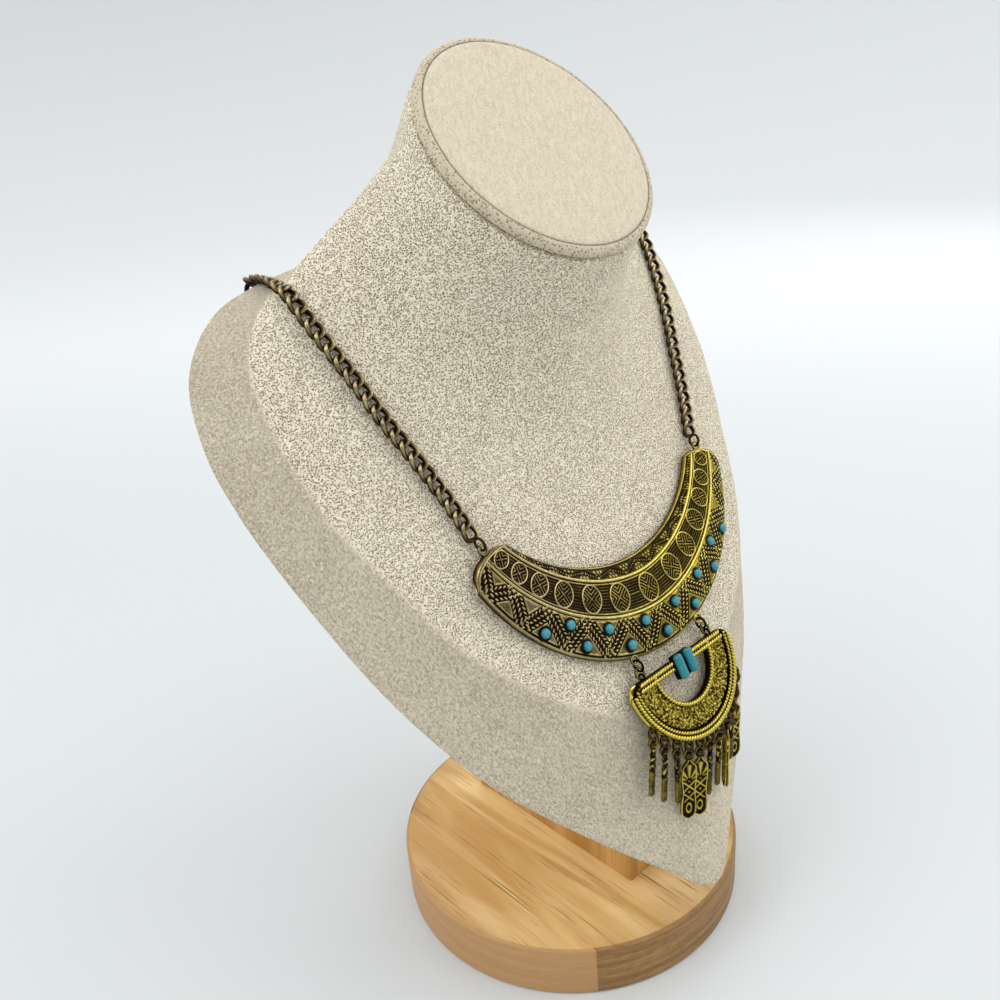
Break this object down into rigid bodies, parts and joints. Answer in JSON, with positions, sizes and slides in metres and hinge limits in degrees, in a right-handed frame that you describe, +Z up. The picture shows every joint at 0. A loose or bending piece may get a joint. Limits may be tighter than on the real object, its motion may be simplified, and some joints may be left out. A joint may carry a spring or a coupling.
{
  "type": "bib necklace on neck bust stand",
  "caption": "Crescent bib necklace of antique brass with a half-moon pendant, turquoise stones and hanging drops, on a linen neck bust with a round wooden stand.",
  "frame": {"origin": "centre of the round base's underside", "axes": "+Z up, the bust faces -Y, +X to the right of someone facing +Y; symmetric about X = 0 but for the drops' small turns"},
  "size_m": [0.2126, 0.1358, 0.3032],
  "materials": {
    "stand_wood": "clear satin lacquer on light hardwood",
    "bust_linen": "matt beige linen knit",
    "cap_suede": "matt beige brushed cloth",
    "antique_brass": "cast, antiqued dark in its recesses and polished on its ridges",
    "chain_brass": "antiqued dark wire",
    "turquoise": "glossy turquoise enamel or resin stone"
  },
  "bodies": {
    "root": {"stand_base": "stand_wood", "stand_post": "stand_wood", "neck_cap": "cap_suede", "bust_form": "bust_linen", "collar_plate": "antique_brass", "cabochon_lower_1": "turquoise", "cabochon_lower_2": "turquoise", "cabochon_lower_3": "turquoise", "cabochon_lower_4": "turquoise", "cabochon_lower_5": "turquoise", "cabochon_lower_6": "turquoise", "cabochon_lower_7": "turquoise", "cabochon_upper_1": "turquoise", "cabochon_upper_2": "turquoise", "cabochon_upper_3": "turquoise", "cabochon_upper_4": "turquoise", "cabochon_upper_5": "turquoise", "cabochon_upper_6": "turquoise", "pendant_plate": "antique_brass", "tube_stone_left": "turquoise", "tube_stone_right": "turquoise", "hanger_ring_top_left": "antique_brass", "hanger_ring_low_left": "antique_brass", "hanger_ring_top_right": "antique_brass", "hanger_ring_low_right": "antique_brass", "chain_left": "chain_brass", "chain_back_left": "chain_brass", "chain_right": "chain_brass", "chain_back_right": "chain_brass", "chain_ring_left": "chain_brass", "chain_ring_right": "chain_brass", "clasp": "chain_brass", "drop_ring_1": "antique_brass", "drop_bar_1": "antique_brass", "drop_ring_2": "antique_brass", "drop_bar_2": "antique_brass", "drop_ring_3": "antique_brass", "drop_bar_3": "antique_brass", "drop_ring_4": "antique_brass", "drop_paddle_4": "antique_brass", "drop_ring_5": "antique_brass", "drop_paddle_5": "antique_brass", "drop_ring_6": "antique_brass", "drop_bar_6": "antique_brass", "drop_ring_7": "antique_brass", "drop_bar_7": "antique_brass", "drop_ring_8": "antique_brass", "drop_paddle_8": "antique_brass", "drop_ring_9": "antique_brass", "drop_bar_9": "antique_brass", "drop_ring_10": "antique_brass", "drop_paddle_10": "antique_brass", "drop_ring_11": "antique_brass", "drop_bar_11": "antique_brass"}
  },
  "joints": []
}
